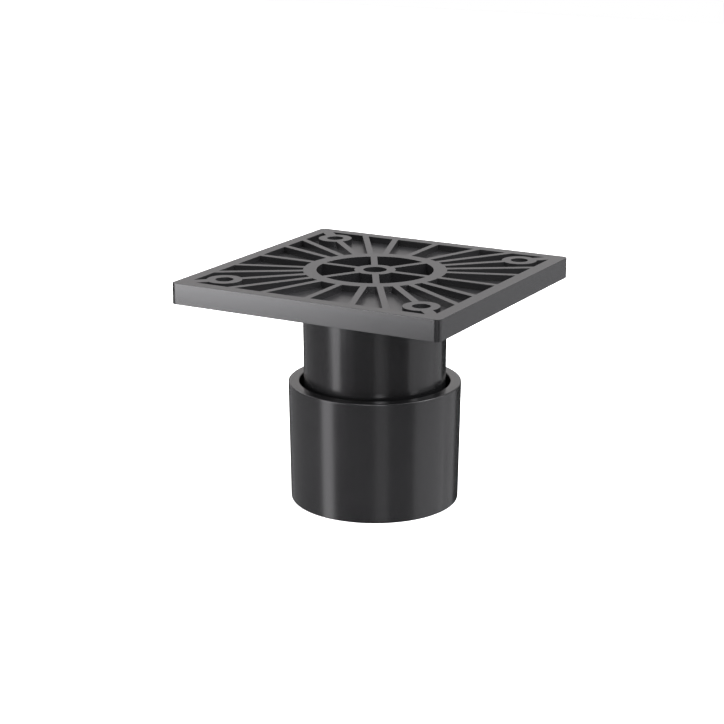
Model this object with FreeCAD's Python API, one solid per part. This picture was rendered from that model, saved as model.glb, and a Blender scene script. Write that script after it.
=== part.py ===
import math
import os

import FreeCAD
import Part
from FreeCAD import Vector

# Adjustable cabinet leg, in millimetres.
# The origin is the centre of the foot's base on the floor and +Z points up to the cabinet.
# The plate's edges run along X and Y.

# Heights of the leg as a whole
LEG_HEIGHT = 61.0
TRAVEL_DOWN = 16.0
TRAVEL_UP = 4.0
END_GAP = 0.5

# Mounting plate: a square tray of ribs, open towards the cabinet
PLATE_SIDE = 75.0
PLATE_THICKNESS = 5.4
PLATE_CORNER_RADIUS = 1.5
PLATE_SKIN = 3.7
RAIL_WIDTH = 3.4
POCKET_CORNER_RADIUS = 0.8
RIB_THICKNESS = 1.7
RIB_ANGLES = (0.0, 20.0, 32.5, 57.5, 70.0)

# Screw bosses in the plate's corners, countersunk from below
SCREW_INSET = 9.75
SCREW_SPACING = PLATE_SIDE - 2 * SCREW_INSET
SCREW_HOLE_DIAMETER = 4.5
SCREW_HEAD_DIAMETER = 8.4
BOSS_WALL = 2.3
BOSS_DIAMETER = SCREW_HOLE_DIAMETER + 2 * BOSS_WALL
BOSS_RIB_THICKNESS = 1.8
CORNER_WEB_THICKNESS = 2.9

# Hollow stem, moulded in one with the plate
STEM_DIAMETER = 37.3
STEM_WALL = 3.65
STEM_RING_INSET = 0.2
STEM_RING_DIAMETER = STEM_DIAMETER - 2 * STEM_RING_INSET
STEM_BORE_DIAMETER = STEM_DIAMETER - 2 * STEM_WALL
STEM_DRAFT = 0.5
STEM_END_CHAMFER = 0.8
STEM_ROOT_CHAMFER = 0.6

# M8 nut pressed into the sleeve's lower end
THREAD_DIAMETER = 8.0
NUT_ACROSS_FLATS = 13.0
NUT_HEIGHT = 6.5
NUT_CHAMFER_ANGLE = 30.0
NUT_POCKET_CLEARANCE = 0.03
THREAD_CLEARANCE = 0.05

# Sleeve and spokes inside the stem
SPINDLE_BORE_CLEARANCE = 0.3
SLEEVE_WALL = 1.0
SLEEVE_DIAMETER = THREAD_DIAMETER + 2 * (SPINDLE_BORE_CLEARANCE + SLEEVE_WALL)
SLEEVE_DRAFT = 0.6
SLEEVE_RECESS = 5.0
SPOKE_COUNT = 6
SPOKE_THICKNESS = 1.75
KEY_HOLE_DIAMETER = 6.0
KEY_HOLE_LENGTH = 6.0
NUT_SEAT_WALL = 1.6
NUT_HOUSING_WALL = 1.9
NUT_INSET = 0.5

# Steel spindle that turns in the foot
SPINDLE_END_CHAMFER = 0.7
SPINDLE_ENGAGEMENT = 2.5
COLLAR_DIAMETER = 14.0
COLLAR_THICKNESS = 3.0
COLLAR_CHAMFER = 0.4
HEX_SOCKET_ACROSS_FLATS = 4.0
HEX_SOCKET_DEPTH = 5.0

# Foot: a cup that slides over the stem
STEM_CLEARANCE = 0.95
FOOT_WALL = 2.9
FOOT_DIAMETER = STEM_DIAMETER + 2 * (STEM_CLEARANCE + FOOT_WALL)
FOOT_HEIGHT = 31.8
FOOT_DRAFT = 1.0
FOOT_BORE_DRAFT = 0.5
FOOT_FLOOR = 3.0
RIM_OUTER_CHAMFER = 0.3
RIM_INNER_CHAMFER = 0.2
BASE_EDGE_CHAMFER = 0.5
BASE_RECESS_INSET = 5.5
BASE_RECESS_DIAMETER = FOOT_DIAMETER - 2 * BASE_RECESS_INSET
BASE_RECESS_DEPTH = 0.6

# Socket in the foot's floor that holds the spindle's collar
SOCKET_CLEARANCE = 0.08
SOCKET_WALL = 1.9
SNAP_LIP = 0.5
SNAP_GAP = 0.1

# Heights worked out from the sizes above
PLATE_TOP = LEG_HEIGHT
PLATE_UNDERSIDE = PLATE_TOP - PLATE_THICKNESS
POCKET_FLOOR = PLATE_UNDERSIDE + PLATE_SKIN
STEM_END = FOOT_FLOOR + TRAVEL_DOWN + END_GAP
SLEEVE_END = STEM_END + SLEEVE_RECESS
NUT_BOTTOM = SLEEVE_END + NUT_INSET
NUT_TOP = NUT_BOTTOM + NUT_HEIGHT
COLLAR_TOP = FOOT_FLOOR + COLLAR_THICKNESS
SOCKET_TOP = SLEEVE_END - TRAVEL_DOWN - END_GAP
SPINDLE_TOP = NUT_TOP + TRAVEL_UP + SPINDLE_ENGAGEMENT

AXIS = Vector(0, 0, 1)
CENTRE = Vector(0, 0, 0)
OVERSHOOT = 1.0


def lean(angle, run):
    """Sideways shift of a wall drafted by an angle over a run."""
    return run * math.tan(math.radians(angle))


def turned(corners):
    """Solid of revolution about the leg's axis from (radius, height) corners."""
    points = [Vector(radius, 0, height) for radius, height in corners]
    outline = Part.makePolygon(points + points[:1])
    return Part.Face(outline).revolve(CENTRE, AXIS, 360)


def cylinder(radius, bottom, top, x=0.0, y=0.0):
    return Part.makeCylinder(radius, top - bottom, Vector(x, y, bottom))


def hexagon(across_flats, bottom, top):
    """Upright hexagonal prism on the axis, with two of its corners on X."""
    corner = across_flats / math.sqrt(3)
    turns = [math.radians(60 * index) for index in range(7)]
    points = [Vector(corner * math.cos(turn), corner * math.sin(turn), bottom) for turn in turns]
    return Part.Face(Part.makePolygon(points)).extrude(Vector(0, 0, top - bottom))


def radial_bar(angle, thickness, inner, outer, bottom, top):
    """Upright bar along a radius, from an inner to an outer distance."""
    bar = Part.makeBox(outer - inner, thickness, top - bottom, Vector(inner, -thickness / 2, bottom))
    bar.rotate(CENTRE, AXIS, angle)
    return bar


def square_block(side, corner_radius, bottom, top):
    """Square block on the axis with rounded upright edges."""
    height = top - bottom
    block = Part.makeBox(side, side, height, Vector(-side / 2, -side / 2, bottom))
    upright = [edge for edge in block.Edges if edge.BoundBox.ZLength > height / 2]
    return block.makeFillet(corner_radius, upright)


def stem_wall_middle():
    """Radius halfway through the stem's wall, where other shapes end inside it."""
    return (STEM_BORE_DIAMETER + STEM_RING_DIAMETER) / 4


def screw_places():
    """Centres of the four screw holes."""
    half = SCREW_SPACING / 2
    return [(x, y) for x in (-half, half) for y in (-half, half)]


def plate_ribs():
    """Everything that stands up inside the plate's tray."""
    reach = PLATE_SIDE
    ribs = [cylinder(STEM_RING_DIAMETER / 2, POCKET_FLOOR, PLATE_TOP)]
    to_boss = SCREW_SPACING / math.sqrt(2)
    for quarter in (0.0, 90.0, 180.0, 270.0):
        for angle in RIB_ANGLES:
            ribs.append(radial_bar(quarter + angle, RIB_THICKNESS, 0, reach, POCKET_FLOOR, PLATE_TOP))
        diagonal = quarter + 45.0
        ribs.append(radial_bar(diagonal, BOSS_RIB_THICKNESS, 0, to_boss, POCKET_FLOOR, PLATE_TOP))
        ribs.append(radial_bar(diagonal, CORNER_WEB_THICKNESS, to_boss, reach, POCKET_FLOOR, PLATE_TOP))
    for x, y in screw_places():
        ribs.append(cylinder(BOSS_DIAMETER / 2, POCKET_FLOOR, PLATE_TOP, x, y))
    return ribs


def screw_hole(x, y):
    """Screw hole with a countersink for a flat head on the plate's underside."""
    hole = SCREW_HOLE_DIAMETER / 2
    head = SCREW_HEAD_DIAMETER / 2
    sink = head - hole
    drill = cylinder(hole, PLATE_UNDERSIDE - OVERSHOOT, PLATE_TOP + OVERSHOOT, x, y)
    cone = Part.makeCone(
        head + OVERSHOOT, hole, sink + OVERSHOOT, Vector(x, y, PLATE_UNDERSIDE - OVERSHOOT)
    )
    return drill.fuse(cone)


def ribbed_plate():
    """Square plate with its pockets, ribs, bosses and screw holes."""
    plate = square_block(PLATE_SIDE, PLATE_CORNER_RADIUS, PLATE_UNDERSIDE, PLATE_TOP)
    tray_side = PLATE_SIDE - 2 * RAIL_WIDTH
    pockets = square_block(tray_side, POCKET_CORNER_RADIUS, POCKET_FLOOR, PLATE_TOP)
    plate = plate.cut(pockets.cut(plate_ribs()))
    bore = cylinder(stem_wall_middle(), PLATE_UNDERSIDE - OVERSHOOT, PLATE_TOP + OVERSHOOT)
    return plate.cut([bore] + [screw_hole(x, y) for x, y in screw_places()])


def stem_bore_radius(height):
    """Inner radius of the stem, which widens downwards."""
    return STEM_BORE_DIAMETER / 2 + lean(STEM_DRAFT, PLATE_TOP - height)


def stem_wall():
    """Tapered tube from the plate's top down into the foot."""
    root = STEM_DIAMETER / 2
    tip = root - lean(STEM_DRAFT, PLATE_UNDERSIDE - STEM_END)
    return turned([
        (STEM_BORE_DIAMETER / 2, PLATE_TOP),
        (STEM_RING_DIAMETER / 2, PLATE_TOP),
        (STEM_RING_DIAMETER / 2, PLATE_UNDERSIDE),
        (root + STEM_ROOT_CHAMFER, PLATE_UNDERSIDE),
        (root, PLATE_UNDERSIDE - STEM_ROOT_CHAMFER),
        (tip, STEM_END + STEM_END_CHAMFER),
        (tip - STEM_END_CHAMFER, STEM_END),
        (stem_bore_radius(STEM_END), STEM_END),
    ])


def sleeve_radius(height):
    """Outer radius of the sleeve, which thickens downwards."""
    return SLEEVE_DIAMETER / 2 + lean(SLEEVE_DRAFT, PLATE_TOP - height)


def nut_housing_radius():
    return (NUT_ACROSS_FLATS + 2 * NUT_POCKET_CLEARANCE) / math.sqrt(3) + NUT_HOUSING_WALL


def sleeve():
    """Central sleeve with the nut's housing at its lower end."""
    housing = nut_housing_radius()
    shoulder = NUT_TOP + NUT_SEAT_WALL
    slope_top = shoulder + housing - sleeve_radius(shoulder)
    return turned([
        (0, PLATE_TOP),
        (sleeve_radius(PLATE_TOP), PLATE_TOP),
        (sleeve_radius(slope_top), slope_top),
        (housing, shoulder),
        (housing, SLEEVE_END),
        (0, SLEEVE_END),
    ])


def spokes():
    """Upright webs that tie the sleeve to the stem's wall."""
    step = 360.0 / SPOKE_COUNT
    return [
        radial_bar(index * step, SPOKE_THICKNESS, 0, stem_wall_middle(), SLEEVE_END, PLATE_TOP)
        for index in range(SPOKE_COUNT)
    ]


def sleeve_bore():
    """Key hole, spindle bore and nut pocket, to be cut from the sleeve."""
    key_hole = KEY_HOLE_DIAMETER / 2
    bore = THREAD_DIAMETER / 2 + SPINDLE_BORE_CLEARANCE
    neck = PLATE_TOP - KEY_HOLE_LENGTH
    channel = turned([
        (0, PLATE_TOP + OVERSHOOT),
        (key_hole, PLATE_TOP + OVERSHOOT),
        (key_hole, neck),
        (bore, neck - (bore - key_hole)),
        (bore, SLEEVE_END - OVERSHOOT),
        (0, SLEEVE_END - OVERSHOOT),
    ])
    pocket = hexagon(NUT_ACROSS_FLATS + 2 * NUT_POCKET_CLEARANCE, SLEEVE_END - OVERSHOOT, NUT_TOP)
    return channel.fuse(pocket)


def plate_and_stem():
    """One moulding: plate, stem, sleeve and spokes."""
    moulding = ribbed_plate().fuse([stem_wall(), sleeve()] + spokes())
    return moulding.cut(sleeve_bore()).removeSplitter()


def spindle_nut():
    """Hexagon nut with chamfered corners, seated against the pocket's end."""
    hexagonal = hexagon(NUT_ACROSS_FLATS, NUT_BOTTOM, NUT_TOP)
    corner = NUT_ACROSS_FLATS / math.sqrt(3)
    flat = NUT_ACROSS_FLATS / 2
    chamfer = lean(NUT_CHAMFER_ANGLE, corner - flat)
    envelope = turned([
        (0, NUT_BOTTOM),
        (flat, NUT_BOTTOM),
        (corner, NUT_BOTTOM + chamfer),
        (corner, NUT_TOP - chamfer),
        (flat, NUT_TOP),
        (0, NUT_TOP),
    ])
    thread = THREAD_DIAMETER / 2 + THREAD_CLEARANCE
    bore = cylinder(thread, NUT_BOTTOM - OVERSHOOT, NUT_TOP + OVERSHOOT)
    return hexagonal.common(envelope).cut(bore)


def spindle():
    """Threaded rod with a collar below and a hexagon socket in its top."""
    rod = THREAD_DIAMETER / 2
    collar = COLLAR_DIAMETER / 2
    body = turned([
        (0, FOOT_FLOOR),
        (collar - COLLAR_CHAMFER, FOOT_FLOOR),
        (collar, FOOT_FLOOR + COLLAR_CHAMFER),
        (collar, COLLAR_TOP - COLLAR_CHAMFER),
        (collar - COLLAR_CHAMFER, COLLAR_TOP),
        (rod, COLLAR_TOP),
        (rod, SPINDLE_TOP - SPINDLE_END_CHAMFER),
        (rod - SPINDLE_END_CHAMFER, SPINDLE_TOP),
        (0, SPINDLE_TOP),
    ])
    socket = hexagon(HEX_SOCKET_ACROSS_FLATS, SPINDLE_TOP - HEX_SOCKET_DEPTH, SPINDLE_TOP + OVERSHOOT)
    return body.cut(socket)


def foot_outer_radius(height):
    """Outer radius of the foot, which narrows towards the floor."""
    return FOOT_DIAMETER / 2 - lean(FOOT_DRAFT, FOOT_HEIGHT - height)


def foot_bore_radius(height):
    """Inner radius of the foot, which narrows towards its floor."""
    return FOOT_DIAMETER / 2 - FOOT_WALL - lean(FOOT_BORE_DRAFT, FOOT_HEIGHT - height)


def collar_socket():
    """Ring on the foot's floor with a lip that snaps over the spindle's collar."""
    inner = COLLAR_DIAMETER / 2 + SOCKET_CLEARANCE
    outer = inner + SOCKET_WALL
    lip = inner - SNAP_LIP
    lip_bottom = COLLAR_TOP + SNAP_GAP
    root = (BASE_RECESS_DEPTH + FOOT_FLOOR) / 2
    return turned([
        (inner, root),
        (outer, root),
        (outer, SOCKET_TOP),
        (inner, SOCKET_TOP),
        (lip, SOCKET_TOP - SNAP_LIP),
        (lip, lip_bottom),
        (inner, lip_bottom),
    ])


def foot_cup():
    """One moulding: base, tapered wall and the socket for the spindle."""
    base = foot_outer_radius(0)
    recess = BASE_RECESS_DIAMETER / 2
    rim_outer = FOOT_DIAMETER / 2
    rim_inner = foot_bore_radius(FOOT_HEIGHT)
    outer_break = FOOT_HEIGHT - RIM_OUTER_CHAMFER
    inner_break = FOOT_HEIGHT - RIM_INNER_CHAMFER
    cup = turned([
        (0, BASE_RECESS_DEPTH),
        (recess - BASE_RECESS_DEPTH, BASE_RECESS_DEPTH),
        (recess, 0),
        (base - BASE_EDGE_CHAMFER, 0),
        (foot_outer_radius(BASE_EDGE_CHAMFER), BASE_EDGE_CHAMFER),
        (foot_outer_radius(outer_break), outer_break),
        (rim_outer - RIM_OUTER_CHAMFER, FOOT_HEIGHT),
        (rim_inner + RIM_INNER_CHAMFER, FOOT_HEIGHT),
        (foot_bore_radius(inner_break), inner_break),
        (foot_bore_radius(FOOT_FLOOR), FOOT_FLOOR),
        (0, FOOT_FLOOR),
    ])
    return cup.fuse(collar_socket()).removeSplitter()


PIECES = {
    "plate_and_stem": plate_and_stem,
    "spindle_nut": spindle_nut,
    "spindle": spindle,
    "foot_cup": foot_cup,
}

os.makedirs("parts", exist_ok=True)
for name, make in PIECES.items():
    piece = make()
    piece.exportStep("parts/" + name + ".step")
    print(name, "solids", len(piece.Solids), "valid", piece.isValid(), "volume", round(piece.Volume, 1))
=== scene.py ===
import math

import bmesh
import bpy
from mathutils import Matrix, Vector


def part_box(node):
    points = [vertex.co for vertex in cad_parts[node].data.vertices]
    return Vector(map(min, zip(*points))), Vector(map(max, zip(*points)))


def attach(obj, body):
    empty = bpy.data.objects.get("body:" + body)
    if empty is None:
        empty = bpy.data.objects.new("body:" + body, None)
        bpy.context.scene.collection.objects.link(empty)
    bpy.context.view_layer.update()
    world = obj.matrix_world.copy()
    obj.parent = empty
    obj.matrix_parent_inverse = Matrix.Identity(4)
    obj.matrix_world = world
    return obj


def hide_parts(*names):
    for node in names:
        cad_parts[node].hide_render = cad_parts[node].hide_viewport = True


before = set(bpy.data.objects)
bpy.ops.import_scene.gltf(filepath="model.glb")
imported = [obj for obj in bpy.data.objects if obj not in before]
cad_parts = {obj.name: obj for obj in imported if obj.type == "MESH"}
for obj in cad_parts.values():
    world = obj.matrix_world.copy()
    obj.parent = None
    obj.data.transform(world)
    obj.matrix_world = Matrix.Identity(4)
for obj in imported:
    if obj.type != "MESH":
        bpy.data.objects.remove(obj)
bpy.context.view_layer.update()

# Camera. A long lens looks at the leg from in front of one corner of its plate, a little
# above it, as in the photograph. Sizes are in metres, but lens and film in millimetres.
PHOTO_AZIMUTH = math.radians(29.191)
PHOTO_ELEVATION = math.radians(16.057)
PHOTO_DISTANCE = 0.48523
PHOTO_AIM_HEIGHT = 0.036
PHOTO_OFFSET_RIGHT = -0.003331
PHOTO_OFFSET_UP = 0.000349
PHOTO_LENS = 93.0
FILM_WIDTH = 36.0
NEAREST_SEEN = 0.01

photo_back = Vector((
    math.sin(PHOTO_AZIMUTH) * math.cos(PHOTO_ELEVATION),
    -math.cos(PHOTO_AZIMUTH) * math.cos(PHOTO_ELEVATION),
    math.sin(PHOTO_ELEVATION),
))
photo_right = Vector((math.cos(PHOTO_AZIMUTH), math.sin(PHOTO_AZIMUTH), 0.0))
photo_up = photo_back.cross(photo_right)
camera_data = bpy.data.cameras.new("photo_camera")
camera_data.lens = PHOTO_LENS
camera_data.sensor_width = FILM_WIDTH
camera_data.clip_start = NEAREST_SEEN
camera = bpy.data.objects.new("photo_camera", camera_data)
camera.location = (
    Vector((0.0, 0.0, PHOTO_AIM_HEIGHT))
    + photo_back * PHOTO_DISTANCE
    + photo_right * PHOTO_OFFSET_RIGHT
    + photo_up * PHOTO_OFFSET_UP
)
camera.rotation_euler = Matrix((photo_right, photo_up, photo_back)).transposed().to_euler()
bpy.context.scene.collection.objects.link(camera)
bpy.context.scene.camera = camera
bpy.context.scene.view_settings.view_transform = "Standard"

# Studio. A pale floor and soft lamps that the black plastic mirrors. Seen from above, upright
# walls mirror lamps that stand lower than the leg, and its tops mirror the broad one behind it.
# A lamp's place is its angle from the camera's own direction, and its size is an angle too.
FLOOR_SIZE = 2.4
FLOOR_GREY = 0.8
FLOOR_GLOW = 0.7
WORLD_GREY = 0.04
LAMP_DISTANCE = 1.2
LAMP_AIM = Vector((0.0, 0.0, 0.03))
COOL_WHITE = (0.98, 0.975, 1.0)
WARM_WHITE = (1.0, 0.97, 0.975)


def node_tree(block):
    """Nodes and links of a material's or world's shader tree, emptied."""
    block.use_nodes = True
    tree = block.node_tree
    tree.nodes.clear()
    return tree.nodes, tree.links


def soft_lamp(name, azimuth, elevation, width, height, glow, colour=COOL_WHITE, distance=LAMP_DISTANCE):
    """Rectangular lamp of even brightness. Place and size are angles in degrees."""
    turn = PHOTO_AZIMUTH + math.radians(azimuth)
    rise = math.radians(elevation)
    away = Vector((math.sin(turn) * math.cos(rise), -math.cos(turn) * math.cos(rise), math.sin(rise)))
    lamp = bpy.data.lights.new(name, "AREA")
    lamp.shape = "RECTANGLE"
    lamp.size = 2.0 * distance * math.tan(math.radians(width) / 2.0)
    lamp.size_y = 2.0 * distance * math.tan(math.radians(height) / 2.0)
    lamp.energy = math.pi * lamp.size * lamp.size_y * glow
    lamp.color = colour
    holder = bpy.data.objects.new(name, lamp)
    holder.location = LAMP_AIM + away * distance
    holder.rotation_euler = away.to_track_quat("Z", "Y").to_euler()
    holder.visible_camera = False
    bpy.context.scene.collection.objects.link(holder)


world = bpy.data.worlds.new("studio")
bpy.context.scene.world = world
nodes, links = node_tree(world)
path = nodes.new("ShaderNodeLightPath")
ambient = nodes.new("ShaderNodeBackground")
ambient.inputs["Color"].default_value = (WORLD_GREY, WORLD_GREY, WORLD_GREY, 1.0)
backdrop = nodes.new("ShaderNodeBackground")
backdrop.inputs["Color"].default_value = (1.0, 1.0, 1.0, 1.0)
by_ray = nodes.new("ShaderNodeMixShader")
out = nodes.new("ShaderNodeOutputWorld")
links.new(path.outputs["Is Camera Ray"], by_ray.inputs["Fac"])
links.new(ambient.outputs["Background"], by_ray.inputs[1])
links.new(backdrop.outputs["Background"], by_ray.inputs[2])
links.new(by_ray.outputs["Shader"], out.inputs["Surface"])

floor_mesh = bpy.data.meshes.new("floor")
bm = bmesh.new()
bmesh.ops.create_grid(bm, x_segments=1, y_segments=1, size=FLOOR_SIZE / 2)
bm.to_mesh(floor_mesh)
bm.free()
floor = bpy.data.objects.new("floor", floor_mesh)
bpy.context.scene.collection.objects.link(floor)
# Lamps that stand below the floor's level shine and are mirrored through it.
floor.visible_glossy = False
floor.visible_shadow = False
floor_paint = bpy.data.materials.new("floor_paint")
nodes, links = node_tree(floor_paint)
path = nodes.new("ShaderNodeLightPath")
matt = nodes.new("ShaderNodeBsdfDiffuse")
matt.inputs["Color"].default_value = (FLOOR_GREY, FLOOR_GREY, FLOOR_GREY, 1.0)
glow = nodes.new("ShaderNodeEmission")
glow.inputs["Color"].default_value = (1.0, 1.0, 1.0, 1.0)
seen = nodes.new("ShaderNodeMath")
seen.operation = "MULTIPLY"
seen.inputs[1].default_value = FLOOR_GLOW
added = nodes.new("ShaderNodeAddShader")
out = nodes.new("ShaderNodeOutputMaterial")
links.new(path.outputs["Is Camera Ray"], seen.inputs[0])
links.new(seen.outputs["Value"], glow.inputs["Strength"])
links.new(matt.outputs["BSDF"], added.inputs[0])
links.new(glow.outputs["Emission"], added.inputs[1])
links.new(added.outputs["Shader"], out.inputs["Surface"])
floor_mesh.materials.append(floor_paint)

soft_lamp("left_strip", -66.0, -20.0, 16.0, 46.0, 3.0)
soft_lamp("left_card", -54.5, 0.5, 33.0, 15.0, 9.2, distance=0.35)
soft_lamp("left_panel", -118.0, -20.0, 74.0, 46.0, 0.28)
soft_lamp("left_high", -110.0, 44.0, 60.0, 26.0, 4.6)
soft_lamp("front_strip", 9.0, -20.0, 16.0, 40.0, 0.50)
soft_lamp("front_box", 8.0, 17.0, 10.0, 8.0, 26.0)
soft_lamp("front_high", 34.0, 58.0, 84.0, 34.0, 7.0)
soft_lamp("right_box", 66.0, 16.0, 8.0, 8.0, 14.0)
soft_lamp("right_top", 92.0, 16.0, 32.0, 14.0, 1.6)
soft_lamp("right_panel", 80.0, -20.0, 48.0, 46.0, 0.84)
soft_lamp("right_edge", 119.0, -20.0, 30.0, 46.0, 0.61)
soft_lamp("right_high", 105.0, 42.0, 60.0, 26.0, 3.8)
soft_lamp("rear_box", 180.0, 25.0, 90.0, 40.0, 0.78, WARM_WHITE)
soft_lamp("overhead", 0.0, 88.0, 70.0, 70.0, 1.5, WARM_WHITE)

# Black moulded plastic, the material of both mouldings. It is a dark grey-black with a satin
# skin: a fine spark-eroded grain, and faint flow clouds in its colour and gloss.
GRAIN_SIZE = 0.00022
GRAIN_STRENGTH = 0.35
GRAIN_DEPTH = 0.00001
CLOUD_SIZE = 0.011
NOISE_MIDDLE = 0.5
GLOSS_SPREAD = 0.05
PLASTIC_IOR = 1.5


def group_socket(tree, name, direction, kind="NodeSocketFloat"):
    """Add one named input or output to a node group."""
    tree.interface.new_socket(name=name, in_out=direction, socket_type=kind)


def moulded_skin_group():
    """Node group: colour, roughness and height of a moulded plastic skin, from Object coordinates."""
    tree = bpy.data.node_groups.new("moulded_skin", "ShaderNodeTree")
    group_socket(tree, "Dark", "INPUT", "NodeSocketColor")
    group_socket(tree, "Light", "INPUT", "NodeSocketColor")
    group_socket(tree, "Gloss", "INPUT")
    group_socket(tree, "Gloss Spread", "INPUT")
    group_socket(tree, "Grain", "INPUT")
    group_socket(tree, "Colour", "OUTPUT", "NodeSocketColor")
    group_socket(tree, "Roughness", "OUTPUT")
    group_socket(tree, "Height", "OUTPUT")
    nodes, links = tree.nodes, tree.links
    given = nodes.new("NodeGroupInput")
    result = nodes.new("NodeGroupOutput")
    place = nodes.new("ShaderNodeTexCoord")

    clouds = nodes.new("ShaderNodeTexNoise")
    clouds.inputs["Scale"].default_value = 1.0 / CLOUD_SIZE
    clouds.inputs["Detail"].default_value = 3.0
    links.new(place.outputs["Object"], clouds.inputs["Vector"])

    grain = nodes.new("ShaderNodeTexNoise")
    grain.inputs["Scale"].default_value = 1.0 / GRAIN_SIZE
    grain.inputs["Detail"].default_value = 2.0
    grain.inputs["Roughness"].default_value = 0.6
    links.new(place.outputs["Object"], grain.inputs["Vector"])

    tint = nodes.new("ShaderNodeMix")
    tint.data_type = "RGBA"
    links.new(clouds.outputs["Fac"], tint.inputs["Factor"])
    links.new(given.outputs["Dark"], tint.inputs["A"])
    links.new(given.outputs["Light"], tint.inputs["B"])
    links.new(tint.outputs["Result"], result.inputs["Colour"])

    centred = nodes.new("ShaderNodeMath")
    centred.operation = "SUBTRACT"
    centred.inputs[1].default_value = NOISE_MIDDLE
    links.new(clouds.outputs["Fac"], centred.inputs[0])
    spread = nodes.new("ShaderNodeMath")
    spread.operation = "MULTIPLY"
    links.new(centred.outputs["Value"], spread.inputs[0])
    links.new(given.outputs["Gloss Spread"], spread.inputs[1])
    rough = nodes.new("ShaderNodeMath")
    rough.operation = "ADD"
    links.new(spread.outputs["Value"], rough.inputs[0])
    links.new(given.outputs["Gloss"], rough.inputs[1])
    links.new(rough.outputs["Value"], result.inputs["Roughness"])

    height = nodes.new("ShaderNodeMath")
    height.operation = "MULTIPLY"
    links.new(grain.outputs["Fac"], height.inputs[0])
    links.new(given.outputs["Grain"], height.inputs[1])
    links.new(height.outputs["Value"], result.inputs["Height"])
    return tree


moulded_skin = moulded_skin_group()


def moulded_plastic(name, dark, light, gloss, grain):
    """Material of one moulding, with its own tone, gloss and depth of grain."""
    material = bpy.data.materials.new(name)
    nodes, links = node_tree(material)
    skin = nodes.new("ShaderNodeGroup")
    skin.node_tree = moulded_skin
    skin.inputs["Dark"].default_value = (*dark, 1.0)
    skin.inputs["Light"].default_value = (*light, 1.0)
    skin.inputs["Gloss"].default_value = gloss
    skin.inputs["Gloss Spread"].default_value = GLOSS_SPREAD
    skin.inputs["Grain"].default_value = grain
    bump = nodes.new("ShaderNodeBump")
    bump.inputs["Strength"].default_value = GRAIN_STRENGTH
    bump.inputs["Distance"].default_value = GRAIN_DEPTH
    surface = nodes.new("ShaderNodeBsdfPrincipled")
    surface.inputs["IOR"].default_value = PLASTIC_IOR
    out = nodes.new("ShaderNodeOutputMaterial")
    links.new(skin.outputs["Colour"], surface.inputs["Base Color"])
    links.new(skin.outputs["Roughness"], surface.inputs["Roughness"])
    links.new(skin.outputs["Height"], bump.inputs["Height"])
    links.new(bump.outputs["Normal"], surface.inputs["Normal"])
    links.new(surface.outputs["BSDF"], out.inputs["Surface"])
    return material


# Plate and stem: one moulding, a ribbed square tray with a hollow stem below. Its shape is
# the solid's own, with coplanar triangles joined and outer edges broken by a small radius.
# The tray and the tops of the ribs have a coarser skin than the sides and the stem.
MM = 0.001
SAME_PLACE = 1e-7
FLAT_ANGLE = math.radians(0.6)
SHARP_ANGLE = math.radians(28.0)
SMOOTH_COSINE = 0.5
PLATE_EDGE_RADIUS = 0.13 * MM
PLATE_EDGE_SEGMENTS = 2
TRAY_DEPTH = 1.7 * MM
TRAY_SIDE = 68.2 * MM
RING_RADIUS = 18.4 * MM
LEG_DARK = (0.009, 0.009, 0.0095)
LEG_LIGHT = (0.012, 0.012, 0.0125)
TOP_SLOT = 1


def shade_by_area(bm, mesh):
    """Write the bmesh to the mesh, with each corner shaded mostly as the largest face round it."""
    bm.normal_update()
    normals = []
    for face in bm.faces:
        face.smooth = True
        for vert in face.verts:
            total = Vector()
            for near in vert.link_faces:
                if near.normal.dot(face.normal) > SMOOTH_COSINE:
                    total += near.normal * near.calc_area()
            normals.append(total.normalized())
    bm.to_mesh(mesh)
    bm.free()
    mesh.normals_split_custom_set(normals)


def rounded(bm, radius, segments, wanted):
    """Round those of the mesh's sharp edges that are wanted."""
    edges = [
        edge for edge in bm.edges
        if len(edge.link_faces) == 2 and edge.calc_face_angle() > SHARP_ANGLE and wanted(edge)
    ]
    bmesh.ops.bevel(
        bm, geom=edges, offset=radius, offset_type="OFFSET", affect="EDGES",
        segments=segments, profile=0.5, material=-1, clamp_overlap=True,
    )


leg_black = moulded_plastic("leg_black", LEG_DARK, LEG_LIGHT, gloss=0.21, grain=0.5)
top_black = moulded_plastic("top_black", LEG_DARK, LEG_LIGHT, gloss=0.32, grain=0.8)
plate_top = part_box("plate_and_stem")[1].z
tray_floor = plate_top - TRAY_DEPTH - PLATE_EDGE_RADIUS
tray_rim = plate_top - PLATE_EDGE_RADIUS
tray_half = TRAY_SIDE / 2.0 + PLATE_EDGE_RADIUS
ring_radius = RING_RADIUS - PLATE_EDGE_RADIUS
plate_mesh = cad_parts["plate_and_stem"].data.copy()
plate_mesh.name = "plate_and_stem_moulding"
plate_mesh.materials.clear()
plate_mesh.materials.append(leg_black)
plate_mesh.materials.append(top_black)
bm = bmesh.new()
bm.from_mesh(plate_mesh)
bmesh.ops.remove_doubles(bm, verts=bm.verts, dist=SAME_PLACE)
bmesh.ops.dissolve_limit(bm, angle_limit=FLAT_ANGLE, verts=bm.verts, edges=bm.edges)
rounded(bm, PLATE_EDGE_RADIUS, PLATE_EDGE_SEGMENTS, lambda edge: edge.is_convex)
for face in bm.faces:
    middle = face.calc_center_median()
    in_tray = max(abs(middle.x), abs(middle.y)) < tray_half and middle.xy.length > ring_radius
    if middle.z > tray_rim or (in_tray and middle.z > tray_floor):
        face.material_index = TOP_SLOT
shade_by_area(bm, plate_mesh)
plate = bpy.data.objects.new("plate_and_stem_moulding", plate_mesh)
bpy.context.scene.collection.objects.link(plate)
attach(plate, "leg")
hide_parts("plate_and_stem")

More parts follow.
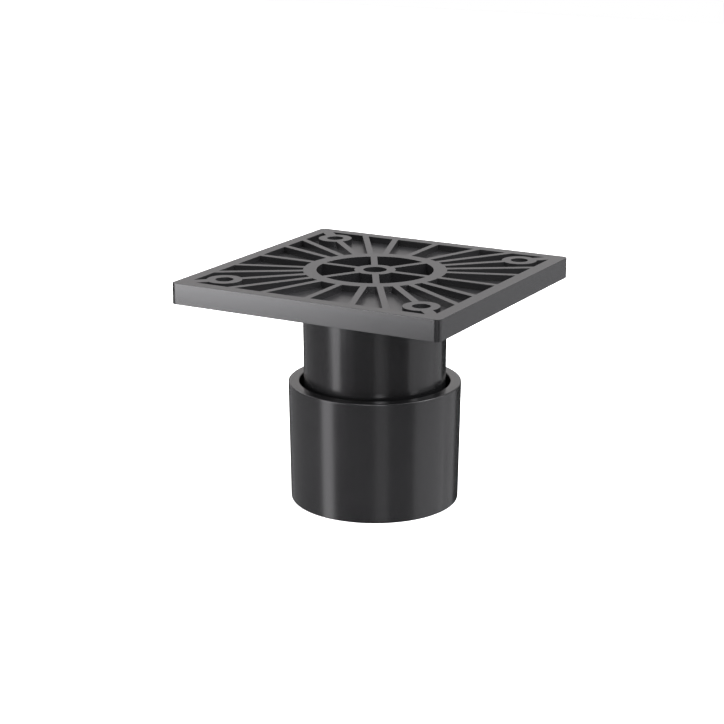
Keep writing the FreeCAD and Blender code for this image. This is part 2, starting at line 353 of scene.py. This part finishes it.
# Foot: one moulding, a cup with a slight taper that stands on a ring at its base. Inside, a
# snap socket holds the spindle's collar. It is spun about the axis from one outline.
FOOT_SEGMENTS = 160
FOOT_FLOOR = 3.0 * MM
FOOT_RIM_BORE = 19.6 * MM
FOOT_FLOOR_BORE = 19.35 * MM
FOOT_BASE_RADIUS = 21.945 * MM
FOOT_RECESS_RADIUS = 17.0 * MM
FOOT_RECESS_DEPTH = 0.6 * MM
SOCKET_BORE = 7.08 * MM
SOCKET_OUTER = 8.98 * MM
SOCKET_TOP = 8.0 * MM
SNAP_BORE = 6.58 * MM
SNAP_BOTTOM = 6.1 * MM
FOOT_EDGE_RADIUS = 0.35 * MM
FOOT_EDGE_SEGMENTS = 3
FOOT_ROUNDED_FROM = 18.0 * MM
FOOT_DARK = (0.011, 0.011, 0.0115)
FOOT_LIGHT = (0.014, 0.014, 0.0145)


def spun(outline, segments):
    """Closed mesh spun about the leg's axis from (radius, height) points."""
    bm = bmesh.new()
    corners = [bm.verts.new((radius, 0.0, height)) for radius, height in outline]
    for first, second in zip(corners, corners[1:]):
        bm.edges.new((first, second))
    bmesh.ops.spin(
        bm, geom=bm.verts[:] + bm.edges[:], cent=(0, 0, 0), axis=(0, 0, 1),
        dvec=(0, 0, 0), angle=math.tau, steps=segments, use_merge=True,
    )
    bmesh.ops.remove_doubles(bm, verts=bm.verts, dist=SAME_PLACE)
    bmesh.ops.recalc_face_normals(bm, faces=bm.faces)
    return bm


foot_low, foot_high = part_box("foot_cup")
foot_rim = foot_high.x
foot_bm = spun([
    (0.0, FOOT_RECESS_DEPTH),
    (FOOT_RECESS_RADIUS - FOOT_RECESS_DEPTH, FOOT_RECESS_DEPTH),
    (FOOT_RECESS_RADIUS, foot_low.z),
    (FOOT_BASE_RADIUS, foot_low.z),
    (foot_rim, foot_high.z),
    (FOOT_RIM_BORE, foot_high.z),
    (FOOT_FLOOR_BORE, FOOT_FLOOR),
    (SOCKET_OUTER, FOOT_FLOOR),
    (SOCKET_OUTER, SOCKET_TOP),
    (SOCKET_BORE, SOCKET_TOP),
    (SNAP_BORE, SOCKET_TOP - (SOCKET_BORE - SNAP_BORE)),
    (SNAP_BORE, SNAP_BOTTOM),
    (SOCKET_BORE, SNAP_BOTTOM),
    (SOCKET_BORE, FOOT_FLOOR),
    (0.0, FOOT_FLOOR),
], FOOT_SEGMENTS)
rounded(
    foot_bm, FOOT_EDGE_RADIUS, FOOT_EDGE_SEGMENTS,
    lambda edge: edge.verts[0].co.xy.length > FOOT_ROUNDED_FROM,
)
foot_mesh = bpy.data.meshes.new("foot_moulding")
shade_by_area(foot_bm, foot_mesh)
foot_mesh.materials.append(moulded_plastic("foot_black", FOOT_DARK, FOOT_LIGHT, gloss=0.21, grain=0.5))
foot = bpy.data.objects.new("foot_moulding", foot_mesh)
bpy.context.scene.collection.objects.link(foot)
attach(foot, "foot")
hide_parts("foot_cup")

# Zinc-plated steel of the spindle and nut: bright, with fine turning marks round the axis
# and a thin film of oil that makes the gloss uneven.
ZINC_COLOUR = (0.62, 0.63, 0.64, 1.0)
MARK_SCALE = (400.0, 400.0, 9000.0)
MARK_STRENGTH = 0.3
MARK_DEPTH = 0.00001
FILM_SCALE = 260.0
NOISE_SUM_LOW, NOISE_SUM_HIGH = 0.6, 1.4
ROUGHNESS_LOW, ROUGHNESS_HIGH = 0.20, 0.42

zinc = bpy.data.materials.new("zinc_plate")
nodes, links = node_tree(zinc)
place = nodes.new("ShaderNodeTexCoord")
stretch = nodes.new("ShaderNodeMapping")
stretch.inputs["Scale"].default_value = MARK_SCALE
marks = nodes.new("ShaderNodeTexNoise")
marks.inputs["Scale"].default_value = 1.0
marks.inputs["Detail"].default_value = 3.0
film = nodes.new("ShaderNodeTexNoise")
film.inputs["Scale"].default_value = FILM_SCALE
film.inputs["Detail"].default_value = 2.0
noise_sum = nodes.new("ShaderNodeMath")
noise_sum.operation = "ADD"
gloss = nodes.new("ShaderNodeMapRange")
gloss.inputs["From Min"].default_value = NOISE_SUM_LOW
gloss.inputs["From Max"].default_value = NOISE_SUM_HIGH
gloss.inputs["To Min"].default_value = ROUGHNESS_LOW
gloss.inputs["To Max"].default_value = ROUGHNESS_HIGH
bump = nodes.new("ShaderNodeBump")
bump.inputs["Strength"].default_value = MARK_STRENGTH
bump.inputs["Distance"].default_value = MARK_DEPTH
surface = nodes.new("ShaderNodeBsdfPrincipled")
surface.inputs["Base Color"].default_value = ZINC_COLOUR
surface.inputs["Metallic"].default_value = 1.0
out = nodes.new("ShaderNodeOutputMaterial")
links.new(place.outputs["Object"], stretch.inputs["Vector"])
links.new(stretch.outputs["Vector"], marks.inputs["Vector"])
links.new(place.outputs["Object"], film.inputs["Vector"])
links.new(marks.outputs["Fac"], noise_sum.inputs[0])
links.new(film.outputs["Fac"], noise_sum.inputs[1])
links.new(noise_sum.outputs["Value"], gloss.inputs["Value"])
links.new(gloss.outputs["Result"], surface.inputs["Roughness"])
links.new(marks.outputs["Fac"], bump.inputs["Height"])
links.new(bump.outputs["Normal"], surface.inputs["Normal"])
links.new(surface.outputs["BSDF"], out.inputs["Surface"])

# Spindle: an M8 screw that turns in the foot. Its thread is a real helix whose phase depends
# only on the height, so that it meshes with the nut's. The collar and the hexagon socket in its
# top carry on from the thread's two round ends.
THREAD_PITCH = 1.25 * MM
THREAD_DEPTH = 0.61 * MM
THREAD_OUTLINE = (("groove", 0), ("groove", 4 / 16), ("crest", 9 / 16), ("crest", 11 / 16))
THREAD_STEPS = 48
THREAD_RADIUS = 4.0 * MM
THREAD_START = 7.2 * MM
THREAD_END_CHAMFER = 0.7 * MM
COLLAR_TOP = 6.0 * MM
COLLAR_CHAMFER = 0.4 * MM
KEY_FLATS = 4.0 * MM
KEY_MOUTH = 2.5 * MM
KEY_DEPTH = 5.0 * MM
KEY_TIP_DEPTH = 5.8 * MM
KEY_TIP_RADIUS = 0.2 * MM
STEEL_SHARP_ANGLE = math.radians(32.0)
TOUCHING = 1e-6


def helical_wall(crest, low, high, trim):
    """Open threaded wall between two heights. Trim gives the radius near its ends."""
    radii = {"groove": crest - THREAD_DEPTH, "crest": crest}
    first = math.floor(low / THREAD_PITCH) - 1
    last = math.ceil(high / THREAD_PITCH)
    bm = bmesh.new()
    column = []
    for turn in range(first, last + 1):
        for side, part in THREAD_OUTLINE:
            column.append(bm.verts.new((radii[side], 0.0, (turn + part) * THREAD_PITCH)))
    for lower, upper in zip(column, column[1:]):
        bm.edges.new((lower, upper))
    bmesh.ops.spin(
        bm, geom=bm.verts[:] + bm.edges[:], cent=(0, 0, 0), axis=(0, 0, 1),
        dvec=(0, 0, THREAD_PITCH / THREAD_STEPS), angle=math.tau, steps=THREAD_STEPS, use_merge=False,
    )
    for vert in bm.verts:
        height = min(max(vert.co.z, low), high)
        reach = trim(vert.co.xy.length, min(height - low, high - height))
        vert.co = (*(vert.co.xy.normalized() * reach), height)
    bmesh.ops.remove_doubles(bm, verts=bm.verts, dist=TOUCHING)
    bmesh.ops.dissolve_degenerate(bm, edges=bm.edges, dist=TOUCHING)
    return bm


def carry_on(bm, height, stations):
    """Extend the open round end at a height through stations, each a function of direction."""
    rim = [
        edge for edge in bm.edges
        if edge.is_boundary and all(abs(vert.co.z - height) < TOUCHING for vert in edge.verts)
    ]
    for station in stations:
        grown = bmesh.ops.extrude_edge_only(bm, edges=rim)["geom"]
        rim = [item for item in grown if isinstance(item, bmesh.types.BMEdge) and item.is_boundary]
        for vert in {vert for edge in rim for vert in edge.verts}:
            direction = vert.co.xy.normalized()
            radius, level = station(direction)
            vert.co = (*(direction * radius), level)
    return rim


def ring(radius, height):
    """Round station."""
    return lambda direction: (radius, height)


def hexagon_reach(direction, across_flats):
    """Distance from the axis to a hexagon with a corner on +X, in a direction."""
    turn = math.atan2(direction.y, direction.x) % (math.tau / 6.0)
    return across_flats / 2.0 / math.cos(turn - math.tau / 12.0)


def steel_piece(name, bm, body, node):
    """Steel object in place of a node of the same outline."""
    bmesh.ops.recalc_face_normals(bm, faces=bm.faces)
    mesh = bpy.data.meshes.new(name)
    for face in bm.faces:
        face.smooth = True
    bm.to_mesh(mesh)
    bm.free()
    mesh.set_sharp_from_angle(angle=STEEL_SHARP_ANGLE)
    mesh.materials.append(zinc)
    piece = bpy.data.objects.new(name, mesh)
    bpy.context.scene.collection.objects.link(piece)
    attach(piece, body)
    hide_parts(node)


spindle_low, spindle_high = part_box("spindle")
collar_radius = spindle_high.x
end_radius = THREAD_RADIUS - THREAD_END_CHAMFER
spindle_bm = helical_wall(
    THREAD_RADIUS, THREAD_START, spindle_high.z, lambda reach, run: min(reach, end_radius + run)
)
foot_end = carry_on(spindle_bm, THREAD_START, [
    ring(end_radius, COLLAR_TOP),
    ring(collar_radius - COLLAR_CHAMFER, COLLAR_TOP),
    ring(collar_radius, COLLAR_TOP - COLLAR_CHAMFER),
    ring(collar_radius, spindle_low.z + COLLAR_CHAMFER),
    ring(collar_radius - COLLAR_CHAMFER, spindle_low.z),
])
bmesh.ops.edgeloop_fill(spindle_bm, edges=foot_end)
socket_mouth = spindle_high.z - (KEY_MOUTH - KEY_FLATS / 2.0) / 2.0
key_end = carry_on(spindle_bm, spindle_high.z, [
    ring(KEY_MOUTH, spindle_high.z),
    lambda direction: (hexagon_reach(direction, KEY_FLATS), socket_mouth),
    lambda direction: (hexagon_reach(direction, KEY_FLATS), spindle_high.z - KEY_DEPTH),
    ring(KEY_TIP_RADIUS, spindle_high.z - KEY_TIP_DEPTH),
])
bmesh.ops.edgeloop_fill(spindle_bm, edges=key_end)
steel_piece("spindle_screw", spindle_bm, "spindle", "spindle")

# Nut: an M8 hexagon nut with chamfered corners. Its inner thread stands off the spindle's by
# the thread's clearance.
NUT_BORE_CLEARANCE = 0.05 * MM
NUT_MOUTH = 0.25 * MM
NUT_CHAMFER_SLOPE = math.tan(math.radians(30.0))

nut_low, nut_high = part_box("spindle_nut")
nut_flats = nut_high.x * math.sqrt(3.0)
nut_crest = THREAD_RADIUS + NUT_BORE_CLEARANCE


def nut_corner(height, side):
    """Station on the hexagon where the chamfer cuts it, nearest to the height at the flats."""
    def place_on(direction):
        reach = hexagon_reach(direction, nut_flats)
        return reach, height - side * (reach - nut_flats / 2.0) * NUT_CHAMFER_SLOPE
    return place_on


nut_bm = helical_wall(
    nut_crest, nut_low.z, nut_high.z, lambda reach, run: max(reach, nut_crest + NUT_MOUTH - run)
)
carry_on(nut_bm, nut_high.z, [
    ring(nut_flats / 2.0, nut_high.z),
    nut_corner(nut_high.z, 1),
    nut_corner(nut_low.z, -1),
    ring(nut_flats / 2.0, nut_low.z),
    ring(nut_crest + NUT_MOUTH, nut_low.z),
])
bmesh.ops.remove_doubles(nut_bm, verts=nut_bm.verts, dist=TOUCHING)
steel_piece("spindle_nut_hexagon", nut_bm, "leg", "spindle_nut")
